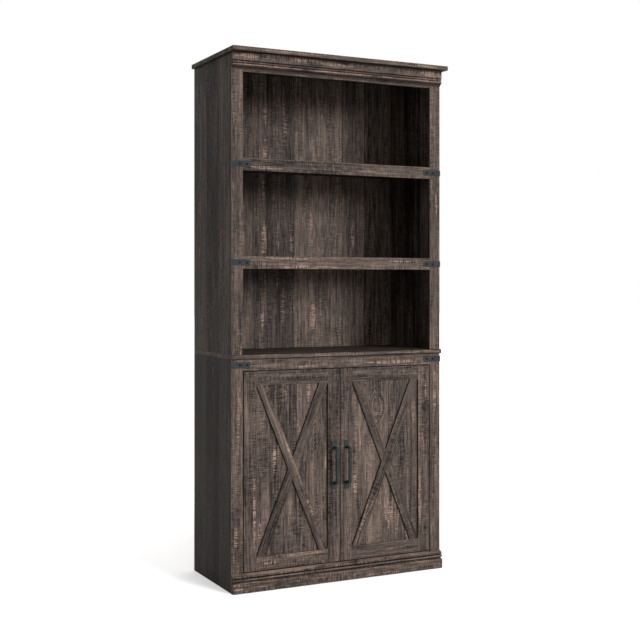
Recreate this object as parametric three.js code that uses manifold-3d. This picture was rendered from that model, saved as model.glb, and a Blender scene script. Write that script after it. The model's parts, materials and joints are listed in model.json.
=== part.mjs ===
// Farmhouse bookcase: three open bays above a cabinet closed by two X-braced doors.
// Millimetres, +Z up, +X to the right when facing it; the front faces -Y.
// The origin is on the floor, under the middle of the top slab.
import * as THREE from "three";
import { mergeVertices } from "three/addons/utils/BufferGeometryUtils.js";
import Module from "manifold-3d";

const wasm = await Module();
wasm.setup();

// Case
const overallHeight = 1800;
const bodyWidth = 810; // outer face of one side panel to the other
const bodyDepth = 348; // front of the face frame to the rear edges of the sides
const boardThickness = 15; // sides, shelves and cabinet bottom
const slabThickness = 15;
const slabFrontOverhang = 40;
const slabSideOverhang = 10;
const slabEdgeRadius = 1.5;
const midSlabThickness = 15;
const midSlabLip = 12; // how far it stands out in front of the face frame
const midSlabEdgeRadius = 4;

// Face frame
const stileWidth = 42;
const stileThickness = 15;
const shelfCount = 2;
const shelfRailHeight = 41;
const crownRailHeight = 60.5;
const doorRailHeight = 39;
const doorOpeningHeight = 670;

// Crown moulding, from the slab down; distances are in front of the face frame
const crownProjection = 13.3;
const crownFriezeHeight = 25.5;
const crownGrooveHeight = 4.5;
const crownGrooveDepth = 2.8;
const crownListHeight = 5.5; // sloping band between the groove and the bead
const crownListSlope = 1; // how far its lower edge lies behind its upper one
const crownListSetback = 0.8; // from the frieze back to its upper edge
const crownBeadRadius = 4.5;
const crownRecessHeight = 1.5; // between the bead and the cove
const crownCoveHeight = 8;
const crownCoveHollow = 0.7;
const crownFoot = 1; // thickness of the cove's lower edge

// Plinth moulding, from the floor up
const plinthProjection = 17.5;
const plinthFlatHeight = 33;
const plinthEdgeRadius = 2.5;
const plinthShoulderHeight = 5;
const plinthShoulderSlope = 1;
const plinthGrooveHeight = 3; // one groove under the bead and one over it
const plinthBeadRadius = 3;
const plinthBeadSetback = 1; // from the flat face back to the front of the bead
const plinthCapSetback = 5; // from the flat face back to the foot of the rounded cap
const plinthCapHeight = 12;
const plinthCapSwell = 1; // how far the cap stands proud of a straight slope
const plinthLedge = 2; // flat left on top of the cap

// Back panels, held in grooves in the side panels
const backThickness = 5;
const backInset = 15; // rear edges of the sides to the back panel
const backFloorGap = 8;
const grooveDepth = 6;
const grooveFit = 0.3;
const grooveEndFit = 0.5;

// Doors: a full-size panel faced with a frame of strips and a braced X
const doorGap = 3;
const doorPanelThickness = 12;
const doorStripThickness = 7;
const doorFrameWidth = 46;
const braceWidth = 30;
const braceFit = 0.3;

// Pulls
const handleLength = 168;
const handleProjection = 31;
const handlePadWidth = 20;
const handlePadLength = 28;
const handlePadThickness = 3;
const handleBarWidth = 11;
const handleBarThickness = 8;
const handleBendRadius = 12; // outer radius where each leg turns into the bar
const handleSink = 1; // how deep the legs run into their pads

// Corner straps over the joints of the face frame
const strapLength = 70;
const strapReturn = 20; // the leg that turns back along the side
const strapHeight = 20;
const strapThickness = 1.5;

// Hinges: a cup in the door and an arm on a post behind the stile
const postDepth = 60;
const cupRadius = 17.5;
const cupDepth = 11;
const cupWall = 1;
const cupFit = 0.3;
const cupFromEdge = 22; // door edge to the middle of the cup
const cupFromEnd = 90; // top or bottom of the door to the middle of the cup
const flangeRadius = 20;
const flangeThickness = 1.2;
const armHeight = 14;
const armThickness = 4;
const armClearance = 1; // flange to the front of the arm, with the door shut
const armShank = 6.5; // thick root of the arm, along the post
const plateThickness = 2;
const plateSetback = 13; // rear of the post to the rear of the plate

// Loose shelf inside the cabinet, on four pins
const innerShelfSetback = 65; // rear of the face frame to the front of the shelf
const innerShelfSideFit = 1;
const innerShelfBackFit = 2;
const pinRadius = 2.5;
const pinReach = 8; // how far a pin stands out of the side panel, and how deep it sits
const pinFit = 0.3;
const pinInset = 40; // shelf's front or rear edge to the pins
const pinHoleCount = 3; // holes in each row, with the pin in the middle one
const pinHolePitch = 32;

const boredFit = 0.3; // gap from the posts and the cabinet bottom to the bored side panels
const roundSteps = 40; // sides of a full circle on the hinge cups
const holeSteps = 16;
const arcSteps = 6; // steps of a quarter round on mouldings and edges

// Levels, from the floor up
const plinthBeadBottom = plinthFlatHeight + plinthShoulderHeight + plinthGrooveHeight;
const plinthCapBottom = plinthBeadBottom + 2 * plinthBeadRadius + plinthGrooveHeight;
const cabinetFloor = plinthCapBottom + plinthCapHeight; // top of the plinth and of the bottom panel
const doorOpeningTop = cabinetFloor + doorOpeningHeight;
const midSlabBottom = doorOpeningTop + doorRailHeight;
const midSlabTop = midSlabBottom + midSlabThickness;
const slabBottom = overallHeight - slabThickness;
const crownRailBottom = slabBottom - crownRailHeight;
const bayHeight = (crownRailBottom - midSlabTop - shelfCount * shelfRailHeight) / (shelfCount + 1);

// Depths, from the front back
const slabDepth = slabFrontOverhang + bodyDepth;
const faceY = -slabDepth / 2 + slabFrontOverhang; // front of the face frame
const sideY = faceY + stileThickness; // front edges of the sides and shelves
const rearY = faceY + bodyDepth;
const backY = rearY - backInset - backThickness; // front face of the back panels
const stripBackY = faceY + doorStripThickness;
const doorBackY = stripBackY + doorPanelThickness;

// Half widths, from the middle out
const outerX = bodyWidth / 2;
const innerX = outerX - boardThickness; // inner faces of the sides
const openingX = outerX - stileWidth; // inner edges of the stiles
const meetingX = doorGap / 2;
const hingeEdgeX = openingX - doorGap;

const woodFront = new THREE.MeshStandardMaterial({ color: "#5b4f49", roughness: 0.75, metalness: 0 });
const woodSide = new THREE.MeshStandardMaterial({ color: "#3d3834", roughness: 0.8, metalness: 0 });
const woodBack = new THREE.MeshStandardMaterial({ color: "#453c37", roughness: 0.8, metalness: 0 });
const blackIron = new THREE.MeshStandardMaterial({ color: "#33383a", roughness: 0.55, metalness: 0.4 });
const hingeSteel = new THREE.MeshStandardMaterial({ color: "#b4b7ba", roughness: 0.3, metalness: 1 });

// Every face lies on a 1/64 mm grid, which 32-bit numbers hold exactly, so faces that meet are one plane.
const grid = 64;
const snap = (value) => Math.round(value * grid) / grid;

const bookcase = new THREE.Group();
const leftDoor = new THREE.Group();
const rightDoor = new THREE.Group();
bookcase.add(leftDoor, rightDoor);

// The two halves are mirrored by side: -1 for the left and +1 for the right.
const sides = [
  { side: -1, word: "left", door: leftDoor },
  { side: 1, word: "right", door: rightDoor },
];

function ordered(a, b) {
  return a < b ? [a, b] : [b, a];
}

function addMesh(group, name, geometry, material) {
  const mesh = new THREE.Mesh(geometry, material);
  mesh.name = name;
  group.add(mesh);
  return mesh;
}

// A square-edged board between two limits along each axis.
function board(group, name, xLimits, yLimits, zLimits, material) {
  const [x, y, z] = [xLimits, yLimits, zLimits].map((limits) => limits.map(snap));
  const geometry = new THREE.BoxGeometry(x[1] - x[0], y[1] - y[0], z[1] - z[0]);
  const mesh = addMesh(group, name, geometry, material);
  mesh.position.set((x[0] + x[1]) / 2, (y[0] + y[1]) / 2, (z[0] + z[1]) / 2);
  return mesh;
}

function outline(points) {
  return new THREE.Shape(points.map(([a, b]) => new THREE.Vector2(a, b)));
}

function extrude(shape, depth) {
  return new THREE.ExtrudeGeometry(shape, { depth, bevelEnabled: false, curveSegments: arcSteps });
}

// Points on an arc about (a, b), from one angle to another in degrees, both ends included.
function arc(a, b, radius, from, to, steps = arcSteps) {
  const points = [];
  for (let i = 0; i <= steps; i += 1) {
    const angle = THREE.MathUtils.degToRad(from + ((to - from) * i) / steps);
    points.push([a + radius * Math.cos(angle), b + radius * Math.sin(angle)]);
  }
  return points;
}

// Points along a shallow parabola, both ends included. A positive swell bows it out to the right.
function bow(from, to, swell, steps = arcSteps) {
  const way = [to[0] - from[0], to[1] - from[1]];
  const length = Math.hypot(...way);
  const points = [];
  for (let i = 0; i <= steps; i += 1) {
    const t = i / steps;
    const out = (4 * swell * t * (1 - t)) / length;
    points.push([from[0] + t * way[0] + out * way[1], from[1] + t * way[1] - out * way[0]]);
  }
  return points;
}

// A plan outline in X and Y, raised between two heights.
function raise(group, name, points, zLimits, material) {
  const [low, high] = zLimits.map(snap);
  const snapped = points.map((point) => point.map(snap));
  const mesh = addMesh(group, name, extrude(outline(snapped), high - low), material);
  mesh.position.z = low;
  return mesh;
}

// A profile of (distance in front of y, height) pairs, run along X between two limits.
const profileBasis = new THREE.Matrix4().makeBasis(
  new THREE.Vector3(0, -1, 0),
  new THREE.Vector3(0, 0, 1),
  new THREE.Vector3(-1, 0, 0),
);
function run(group, name, points, y, xLimits, material) {
  const [low, high] = xLimits.map(snap);
  const snapped = points.map((point) => point.map(snap));
  const mesh = addMesh(group, name, extrude(outline(snapped), high - low), material);
  mesh.quaternion.setFromRotationMatrix(profileBasis);
  mesh.position.set(high, snap(y), 0);
  return mesh;
}

function toSolid(geometry) {
  const bare = geometry.clone();
  bare.deleteAttribute("normal");
  bare.deleteAttribute("uv");
  const merged = mergeVertices(bare);
  return new wasm.Manifold(
    new wasm.Mesh({
      numProp: 3,
      vertProperties: merged.attributes.position.array,
      triVerts: new Uint32Array(merged.index.array),
    }),
  );
}

function toGeometry(solid) {
  const mesh = solid.getMesh();
  return new THREE.BufferGeometry()
    .setAttribute("position", new THREE.BufferAttribute(mesh.vertProperties, 3))
    .setIndex(new THREE.BufferAttribute(mesh.triVerts, 1));
}

// Cuts round holes in a mesh. Each hole is a cylinder along X or Y, about a centre in the bookcase's frame.
function bore(mesh, holes) {
  let solid = toSolid(mesh.geometry);
  for (const { radius, length, steps, axis, centre } of holes) {
    const drill = new THREE.CylinderGeometry(radius, radius, length, steps);
    if (axis === "x") drill.rotateZ(Math.PI / 2);
    drill.translate(...centre.map((value, i) => value - mesh.position.getComponent(i)));
    solid = solid.subtract(toSolid(drill));
  }
  mesh.geometry = toGeometry(solid);
}

// A slab with its front edge eased top and bottom; it projects forward from the face frame.
function slab(name, projection, radius, halfWidth, bottom, top) {
  const rear = -bodyDepth;
  const front = projection - radius;
  const points = [
    [rear, bottom],
    ...arc(front, bottom + radius, radius, -90, 0),
    ...arc(front, top - radius, radius, 0, 90),
    [rear, top],
  ];
  run(bookcase, name, points, faceY, [-halfWidth, halfWidth], woodFront);
}

function slabs() {
  const topHalfWidth = outerX + slabSideOverhang;
  slab("top_slab", slabFrontOverhang, slabEdgeRadius, topHalfWidth, slabBottom, overallHeight);
  slab("mid_slab", midSlabLip, midSlabEdgeRadius, outerX, midSlabBottom, midSlabTop);
}

// Side panels: the same plan outline, with a groove for the back panel, at two heights.
function sidePanels() {
  const storeys = [
    { level: "lower", z: [0, midSlabBottom] },
    { level: "upper", z: [midSlabTop, slabBottom] },
  ];
  const grooveX = innerX + grooveDepth;
  const grooveY = [backY - grooveFit, backY + backThickness + grooveFit];
  for (const { level, z } of storeys) {
    for (const { side, word } of sides) {
      const points = [
        [innerX, sideY],
        [outerX, sideY],
        [outerX, rearY],
        [innerX, rearY],
        [innerX, grooveY[1]],
        [grooveX, grooveY[1]],
        [grooveX, grooveY[0]],
        [innerX, grooveY[0]],
      ].map(([x, y]) => [side * x, y]);
      const panel = raise(bookcase, `${level}_side_${word}`, points, z, woodSide);
      const stileX = ordered(side * openingX, side * outerX);
      board(bookcase, `${level}_stile_${word}`, stileX, [faceY, sideY], z, woodFront);
      if (level === "lower") bore(panel, pinHoles(side));
    }
  }
  const backHalfWidth = grooveX - grooveEndFit;
  for (const { level, z } of storeys) {
    const bottom = level === "lower" ? backFloorGap : z[0];
    const limits = [-backHalfWidth, backHalfWidth];
    board(bookcase, `${level}_back`, limits, [backY, backY + backThickness], [bottom, z[1]], woodBack);
  }
}

// Rails between the stiles, with a shelf board behind each shelf rail.
function railsAndShelves() {
  const railX = [-openingX, openingX];
  const railY = [faceY, sideY];
  board(bookcase, "crown_rail", railX, railY, [crownRailBottom, slabBottom], woodFront);
  board(bookcase, "door_rail", railX, railY, [doorOpeningTop, midSlabBottom], woodFront);
  for (let i = 1; i <= shelfCount; i += 1) {
    const top = shelfRailTop(i);
    board(bookcase, `shelf_rail_${i}`, railX, railY, [top - shelfRailHeight, top], woodFront);
    board(bookcase, `shelf_${i}`, [-innerX, innerX], [sideY, backY], [top - boardThickness, top], woodSide);
  }
}

// Shelves are numbered from the top; a bay of the same height lies over and under each.
function shelfRailTop(number) {
  return crownRailBottom - number * bayHeight - (number - 1) * shelfRailHeight;
}

// Cabinet bottom, notched round the two stiles and flush with the top of the plinth.
function cabinetBottom() {
  const wide = innerX - boredFit;
  const points = [
    [-openingX, faceY],
    [openingX, faceY],
    [openingX, sideY],
    [wide, sideY],
    [wide, backY],
    [-wide, backY],
    [-wide, sideY],
    [-openingX, sideY],
  ];
  raise(bookcase, "bottom_panel", points, [cabinetFloor - boardThickness, cabinetFloor], woodSide);
}

// Crown, from the slab down: flat frieze, groove, sloping list, bead, recess, cove back to the rail.
function crown() {
  const friezeBottom = slabBottom - crownFriezeHeight;
  const grooveBottom = friezeBottom - crownGrooveHeight;
  const listBottom = grooveBottom - crownListHeight;
  const beadCentre = listBottom - crownBeadRadius;
  const coveTop = beadCentre - crownBeadRadius - crownRecessHeight;
  const coveBottom = coveTop - crownCoveHeight;
  const listFront = crownProjection - crownListSetback;
  const points = [
    [0, coveBottom],
    ...bow([crownFoot, coveBottom], [crownFoot + crownCoveHeight, coveTop], -crownCoveHollow),
    ...arc(crownProjection - crownBeadRadius, beadCentre, crownBeadRadius, -75, 60),
    [listFront - crownListSlope, listBottom],
    [listFront, grooveBottom],
    [crownProjection - crownGrooveDepth, (grooveBottom + friezeBottom) / 2],
    [crownProjection, friezeBottom],
    [crownProjection, slabBottom],
    [0, slabBottom],
  ];
  run(bookcase, "crown_moulding", points, faceY, [-outerX, outerX], woodFront);
}

// Plinth, from the floor up: flat face with an eased top, shoulder, groove, bead, groove, rounded cap.
function plinth() {
  const edge = plinthProjection - plinthEdgeRadius;
  const grooveFront = edge - plinthShoulderSlope;
  const shoulderTop = plinthFlatHeight + plinthShoulderHeight;
  const beadCentre = plinthBeadBottom + plinthBeadRadius;
  const beadX = plinthProjection - plinthBeadSetback - plinthBeadRadius;
  const capFoot = [plinthProjection - plinthCapSetback, plinthCapBottom];
  const points = [
    [0, 0],
    [plinthProjection, 0],
    ...arc(edge, plinthFlatHeight - plinthEdgeRadius, plinthEdgeRadius, 0, 90),
    [grooveFront, shoulderTop],
    ...arc(beadX, beadCentre, plinthBeadRadius, -75, 75),
    ...bow(capFoot, [plinthLedge, cabinetFloor], plinthCapSwell),
    [0, cabinetFloor],
  ];
  run(bookcase, "plinth_moulding", points, faceY, [-outerX, outerX], woodFront);
}

// L-shaped straps: over the ends of both shelf rails and of the door rail.
function cornerStraps() {
  const rails = [
    { word: "shelf_1", z: shelfRailTop(1) - shelfRailHeight / 2 },
    { word: "shelf_2", z: shelfRailTop(2) - shelfRailHeight / 2 },
    { word: "door_rail", z: doorOpeningTop + doorRailHeight / 2 },
  ];
  const frontY = faceY - strapThickness;
  const wrapX = outerX + strapThickness;
  for (const { word: rail, z } of rails) {
    for (const { side, word } of sides) {
      const points = [
        [wrapX - strapLength, faceY],
        [wrapX - strapLength, frontY],
        [wrapX, frontY],
        [wrapX, faceY + strapReturn],
        [outerX, faceY + strapReturn],
        [outerX, faceY],
      ].map(([x, y]) => [side * x, y]);
      const limits = [z - strapHeight / 2, z + strapHeight / 2];
      raise(bookcase, `strap_${rail}_${word}`, points, limits, blackIron);
    }
  }
}

const doorBottom = cabinetFloor + doorGap;
const doorTop = doorOpeningTop - doorGap;
const doorMiddle = (doorBottom + doorTop) / 2;
const cupHeights = [
  { word: "top", z: doorTop - cupFromEnd },
  { word: "bottom", z: doorBottom + cupFromEnd },
];

function doorPanels() {
  for (const { side, word, door } of sides) {
    const [low, high] = ordered(side * meetingX, side * hingeEdgeX);
    const panel = board(
      door, `door_panel_${word}`, [low, high], [stripBackY, doorBackY], [doorBottom, doorTop], woodFront,
    );
    const cupX = side * (hingeEdgeX - cupFromEdge);
    bore(panel, cupHeights.map(({ z }) => ({
      radius: cupRadius,
      length: 2 * cupDepth,
      steps: roundSteps,
      centre: [cupX, doorBackY, z],
    })));
  }
}

// Frame strips on the front of each door: full-height stiles with rails between them.
function doorFrames() {
  const y = [faceY, stripBackY];
  const innerEdge = meetingX + doorFrameWidth;
  const outerEdge = hingeEdgeX - doorFrameWidth;
  for (const { side, word, door } of sides) {
    const strip = (name, from, to, low, high) => {
      board(door, `${name}_${word}`, ordered(side * from, side * to), y, [low, high], woodFront);
    };
    strip("door_meeting_stile", meetingX, innerEdge, doorBottom, doorTop);
    strip("door_hinge_stile", outerEdge, hingeEdgeX, doorBottom, doorTop);
    strip("door_top_rail", innerEdge, outerEdge, doorTop - doorFrameWidth, doorTop);
    strip("door_bottom_rail", innerEdge, outerEdge, doorBottom, doorBottom + doorFrameWidth);
  }
}

// Where the lines p + s * d and q + t * e meet.
function meet(p, d, q, e) {
  const s = ((q[0] - p[0]) * e[1] - (q[1] - p[1]) * e[0]) / (d[0] * e[1] - d[1] * e[0]);
  return [p[0] + s * d[0], p[1] + s * d[1]];
}

// The X fills the frame's opening: each band's outer edges run into opposite corners. One band is whole,
// from the top hinge corner to the bottom meeting corner, and the other is two halves butted against it.
function doorBraces() {
  const width = hingeEdgeX - meetingX - 2 * (doorFrameWidth + braceFit);
  const height = doorTop - doorBottom - 2 * (doorFrameWidth + braceFit);
  const lean = Math.acos(braceWidth / Math.hypot(width, height)) - Math.atan2(height, width);
  const cut = braceWidth / Math.cos(lean); // length of the level cut at a band's end
  const [a, b] = [width / 2, height / 2];
  const middle = (hingeEdgeX + meetingX) / 2;

  // The band's upper edge leaves its top end at a - cut, and its lower edge enters the far corner.
  const rise = [a - cut + a, -2 * b];
  const fall = [-rise[0], rise[1]];
  const gap = braceFit / Math.cos(lean);
  const whole = [[a, b], [a - cut, b], [-a, -b], [cut - a, -b]];
  const nearTop = [a - cut - gap, b];
  const nearBottom = [a + gap, b];
  const upperHalf = [
    [-a, b],
    [cut - a, b],
    meet([cut - a, b], rise, nearTop, fall),
    meet([-a, b], rise, nearTop, fall),
  ];
  const lowerHalf = [
    [a, -b],
    [a - cut, -b],
    meet([-a, b], rise, nearBottom, fall),
    meet([cut - a, b], rise, nearBottom, fall),
  ];

  const bands = [
    { name: "door_brace", points: whole },
    { name: "door_brace_upper_half", points: upperHalf },
    { name: "door_brace_lower_half", points: lowerHalf },
  ];
  for (const { side, word, door } of sides) {
    for (const { name, points } of bands) {
      const placed = points.map(([x, z]) => [side * (middle + x), doorMiddle + z]);
      const geometry = extrude(outline(placed), snap(doorStripThickness));
      const mesh = addMesh(door, `${name}_${word}`, geometry, woodFront);
      mesh.rotation.x = Math.PI / 2;
      mesh.position.y = snap(stripBackY);
    }
  }
}

// Forged pull: a bowed flat bar on two legs, each leg on its own pad, made as one piece.
function handles() {
  const half = handleLength / 2;
  const legOut = half - handlePadLength + handleBarThickness;
  const legIn = half - handlePadLength;
  const bend = handleBendRadius;
  const inner = bend - handleBarThickness;
  const front = handleProjection;
  const start = handlePadThickness - handleSink;
  const barPoints = [
    [start, legOut],
    ...arc(front - bend, legOut - bend, bend, 90, 0),
    ...arc(front - bend, bend - legOut, bend, 0, -90),
    [start, -legOut],
    [start, -legIn],
    ...arc(front - bend, inner - legIn, inner, -90, 0),
    ...arc(front - bend, legIn - inner, inner, 0, 90),
    [start, legIn],
  ];
  const bar = extrude(outline(barPoints), handleBarWidth).translate(0, 0, -handleBarWidth / 2);
  let solid = toSolid(bar);
  for (const end of [-1, 1]) {
    const pad = new THREE.BoxGeometry(handlePadThickness, handlePadLength, handlePadWidth);
    pad.translate(handlePadThickness / 2, end * (half - handlePadLength / 2), 0);
    solid = solid.add(toSolid(pad));
  }
  for (const { side, word, door } of sides) {
    const mesh = addMesh(door, `handle_${word}`, toGeometry(solid), blackIron);
    mesh.quaternion.setFromRotationMatrix(profileBasis);
    mesh.position.set(side * snap(meetingX + doorFrameWidth / 2), snap(faceY), snap(doorMiddle));
  }
}

// Hinges: an open steel cup sunk in the door panel, and an arm that reaches over it from the post.
function hinges() {
  const cup = new THREE.LatheGeometry(
    [
      [0, 0],
      [cupRadius - cupFit, 0],
      [cupRadius - cupFit, cupDepth],
      [flangeRadius, cupDepth],
      [flangeRadius, cupDepth + flangeThickness],
      [cupRadius - cupFit - cupWall, cupDepth + flangeThickness],
      [cupRadius - cupFit - cupWall, cupWall],
      [0, cupWall],
    ].map(([x, y]) => new THREE.Vector2(x, y)),
    roundSteps,
  );
  const postY = [sideY, sideY + postDepth];
  const cupX = hingeEdgeX - cupFromEdge;
  const cupY = doorBackY - cupDepth + cupFit;
  const armFront = cupY + cupDepth + flangeThickness + armClearance;
  const armRear = armFront + armThickness;
  const plateX = openingX - plateThickness;
  const plateRear = postY[1] - plateSetback;
  const armX = plateX - armThickness;
  for (const { side, word, door } of sides) {
    const postX = ordered(side * openingX, side * (innerX - boredFit));
    board(bookcase, `hinge_post_${word}`, postX, postY, [cabinetFloor, midSlabBottom], woodSide);
    for (const { word: end, z } of cupHeights) {
      const mesh = addMesh(door, `hinge_cup_${end}_${word}`, cup, hingeSteel);
      mesh.position.set(side * cupX, cupY, z);
      const points = [
        [openingX, armFront],
        [cupX, armFront],
        [cupX, armRear],
        [armX, armRear],
        [armX, armRear + armShank],
        [plateX, armRear + armShank],
        [plateX, plateRear],
        [openingX, plateRear],
      ].map(([x, y]) => [side * x, y]);
      const limits = [z - armHeight / 2, z + armHeight / 2];
      raise(bookcase, `hinge_arm_${end}_${word}`, points, limits, hingeSteel);
    }
  }
}

const innerShelfTop = (cabinetFloor + midSlabBottom + boardThickness) / 2;
const innerShelfY = [sideY + innerShelfSetback, backY - innerShelfBackFit];
const pinCentreZ = innerShelfTop - boardThickness - pinFit - pinRadius;
const pinRows = [
  { word: "front", y: innerShelfY[0] + pinInset },
  { word: "rear", y: innerShelfY[1] - pinInset },
];

// Blind holes for the pins in one lower side panel.
function pinHoles(side) {
  const holes = [];
  const radius = pinRadius + pinFit;
  const length = 2 * (pinReach + pinFit);
  for (const { y } of pinRows) {
    for (let i = 0; i < pinHoleCount; i += 1) {
      const z = pinCentreZ + (i - (pinHoleCount - 1) / 2) * pinHolePitch;
      holes.push({ radius, length, steps: holeSteps, axis: "x", centre: [side * innerX, y, z] });
    }
  }
  return holes;
}

function innerShelf() {
  const halfWidth = innerX - innerShelfSideFit;
  const z = [innerShelfTop - boardThickness, innerShelfTop];
  board(bookcase, "inner_shelf", [-halfWidth, halfWidth], innerShelfY, z, woodSide);
  for (const { side, word } of sides) {
    for (const { word: row, y } of pinRows) {
      const pin = new THREE.CylinderGeometry(pinRadius, pinRadius, 2 * pinReach, holeSteps);
      const mesh = addMesh(bookcase, `shelf_pin_${row}_${word}`, pin, hingeSteel);
      mesh.rotation.z = Math.PI / 2;
      mesh.position.set(side * innerX, y, pinCentreZ);
    }
  }
}

slabs();
sidePanels();
railsAndShelves();
cabinetBottom();
crown();
plinth();
cornerStraps();
doorPanels();
doorFrames();
doorBraces();
handles();
hinges();
innerShelf();

export default bookcase;
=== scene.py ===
# Farmhouse bookcase: three open bays over a cabinet with two X-braced doors.
# Rustic oak laminate on every board, black iron straps and pulls, zinc-plated hinges.
import json
import math

import bpy
import numpy as np
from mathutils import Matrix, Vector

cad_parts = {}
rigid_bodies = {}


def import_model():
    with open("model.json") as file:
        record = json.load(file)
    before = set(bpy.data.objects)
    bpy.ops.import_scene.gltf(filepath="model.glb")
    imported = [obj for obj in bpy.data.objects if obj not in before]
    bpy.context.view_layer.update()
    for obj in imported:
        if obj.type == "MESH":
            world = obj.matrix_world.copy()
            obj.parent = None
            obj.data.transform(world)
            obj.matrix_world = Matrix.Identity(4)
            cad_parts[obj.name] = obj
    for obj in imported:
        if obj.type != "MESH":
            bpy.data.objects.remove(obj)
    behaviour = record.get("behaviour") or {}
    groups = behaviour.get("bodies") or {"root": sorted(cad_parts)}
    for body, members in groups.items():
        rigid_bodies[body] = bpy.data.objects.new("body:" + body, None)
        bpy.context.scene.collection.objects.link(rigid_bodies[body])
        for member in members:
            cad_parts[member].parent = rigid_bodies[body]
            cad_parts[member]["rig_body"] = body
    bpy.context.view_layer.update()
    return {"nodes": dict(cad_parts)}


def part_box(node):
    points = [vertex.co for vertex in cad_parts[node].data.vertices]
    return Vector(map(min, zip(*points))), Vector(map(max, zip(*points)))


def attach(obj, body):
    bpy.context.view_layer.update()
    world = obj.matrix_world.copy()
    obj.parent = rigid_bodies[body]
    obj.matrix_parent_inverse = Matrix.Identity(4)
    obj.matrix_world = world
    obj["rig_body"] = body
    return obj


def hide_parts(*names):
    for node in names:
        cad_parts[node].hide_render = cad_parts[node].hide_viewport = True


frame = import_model()
print("frame loaded:", len(frame["nodes"]), "CAD nodes")

mm = 0.001
rng = np.random.default_rng(1874)  # shifts the printed grain from board to board
cornerShare = 0.45  # the most of a side that a rounded corner may take


# A closed outline with every corner rounded. The corner's arc touches both of its sides:
# centre = corner - s r (n0 + n1) / (1 + n0.n1) and point = centre + s r n, where the normal n turns
# from n0 to n1, and s is +1 on an outside corner and -1 on an inside one.
# Returns points, normals and how far each point lies into its arc, from 0 at the sides to 1 halfway,
# counted below zero on the inside corners.
def roundedOutline(corners, radius, steps):
    corners = np.array(corners, float)
    ahead = np.roll(corners, -1, axis=0) - corners
    if np.sum(corners[:, 0] * ahead[:, 1] - corners[:, 1] * ahead[:, 0]) < 0:
        corners = corners[::-1]
        ahead = np.roll(corners, -1, axis=0) - corners
    length = np.linalg.norm(ahead, axis=1)
    along = ahead / length[:, None]
    leaving = np.stack([along[:, 1], -along[:, 0]], axis=1)
    arriving = np.roll(leaving, 1, axis=0)
    dot = np.sum(arriving * leaving, axis=1)
    turn = np.arctan2(arriving[:, 0] * leaving[:, 1] - arriving[:, 1] * leaving[:, 0], dot)
    shorter = np.minimum(length, np.roll(length, 1))
    room = cornerShare * shorter / np.maximum(np.tan(np.abs(turn) / 2), 1e-4)
    bend = np.where(turn >= 0, 1.0, -1.0) * np.minimum(radius, room)
    centre = corners - bend[:, None] * (arriving + leaving) / (1 + dot)[:, None]
    t = np.linspace(0, 1, steps + 1)
    angle = np.arctan2(arriving[:, 1], arriving[:, 0])[:, None] + turn[:, None] * t
    normal = np.stack([np.cos(angle), np.sin(angle)], axis=-1)
    points = centre[:, None] + bend[:, None, None] * normal
    into = np.sin(np.pi * t) * np.clip(turn * 2 / np.pi, -1, 1)[:, None]
    return points.reshape(-1, 2), normal.reshape(-1, 2), into.ravel()


# Quads between the rows of a grid of points that closes on itself along each row.
def gridFaces(rows, columns):
    i, j = np.meshgrid(np.arange(rows - 1), np.arange(columns), indexing="ij")
    right = (j + 1) % columns
    near, far = i * columns, (i + 1) * columns
    return np.stack([near + j, near + right, far + right, far + j], -1).reshape(-1, 4)


axisOrder = {"x": (1, 2, 0), "y": (2, 0, 1), "z": (0, 1, 2)}  # outline axes, then the axis it runs along


# A prism with eased ends. With a from 90 to 0 degrees, ring a is the outline drawn in along its normals
# by e (1 - cos a), at e (1 - sin a) from the end, and its normal leans n cos a + axis sin a.
def easedPrism(corners, axis, low, high, radius, ease=None, steps=3):
    ease = radius if ease is None else ease
    outline, normal, into = roundedOutline(corners, radius, steps)
    a = np.linspace(np.pi / 2, 0, steps + 1)
    both = np.concatenate([a, a[::-1]])
    end = np.repeat([-1.0, 1.0], steps + 1)
    station = np.where(end < 0, low, high) - end * ease * (1 - np.sin(both))
    flat = outline[None] - (ease * (1 - np.cos(both)))[:, None, None] * normal[None]
    order = np.argsort(axisOrder[axis])
    points = np.concatenate([flat, np.broadcast_to(station[:, None, None], flat.shape[:2] + (1,))], -1)
    lean = np.concatenate([
        normal[None] * np.cos(both)[:, None, None],
        np.broadcast_to((end * np.sin(both))[:, None, None], flat.shape[:2] + (1,)),
    ], -1)
    worn = np.maximum(into[None], np.sin(2 * both)[:, None])
    # inside corners are darkened: painted shade
    stain = np.broadcast_to(np.clip(-3 * into, 0, 1), flat.shape[:2])
    rows, columns = flat.shape[:2]
    faces = gridFaces(rows, columns).tolist()
    faces.append(list(range(columns))[::-1])
    faces.append(list(range((rows - 1) * columns, rows * columns)))
    return {
        "points": points[..., order].reshape(-1, 3),
        "normals": lean[..., order].reshape(-1, 3),
        "worn": worn.ravel(),
        "stain": stain.ravel(),
        "faces": faces,
    }


# A turned form: point(u, v) = centre + radius(u) (cos v, sin v) across the axis + height(u) along it.
# The profile starts and ends on the axis, where each row shrinks to a pole.
def turned(profile, axis, centre, steps=48):
    profile = np.array(profile, float)
    angle = np.linspace(0, 2 * np.pi, steps, endpoint=False)
    inner = profile[1:-1]
    ring = inner[:, 0, None, None] * np.stack([np.cos(angle), np.sin(angle)], -1)
    height = np.broadcast_to(inner[:, 1, None, None], ring.shape[:2] + (1,))
    grid = np.concatenate([ring, height], -1).reshape(-1, 3)
    poles = np.array([[0, 0, profile[0, 1]], [0, 0, profile[-1, 1]]])
    order = np.argsort(axisOrder[axis])
    points = np.concatenate([grid, poles])[:, order] + np.array(centre)
    rows = len(inner)
    faces = gridFaces(rows, steps).tolist()
    first, last, base = rows * steps, rows * steps + 1, (rows - 1) * steps
    faces += [[first, (j + 1) % steps, j] for j in range(steps)]
    faces += [[last, base + j, base + (j + 1) % steps] for j in range(steps)]
    return {"points": points, "faces": faces}


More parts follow.
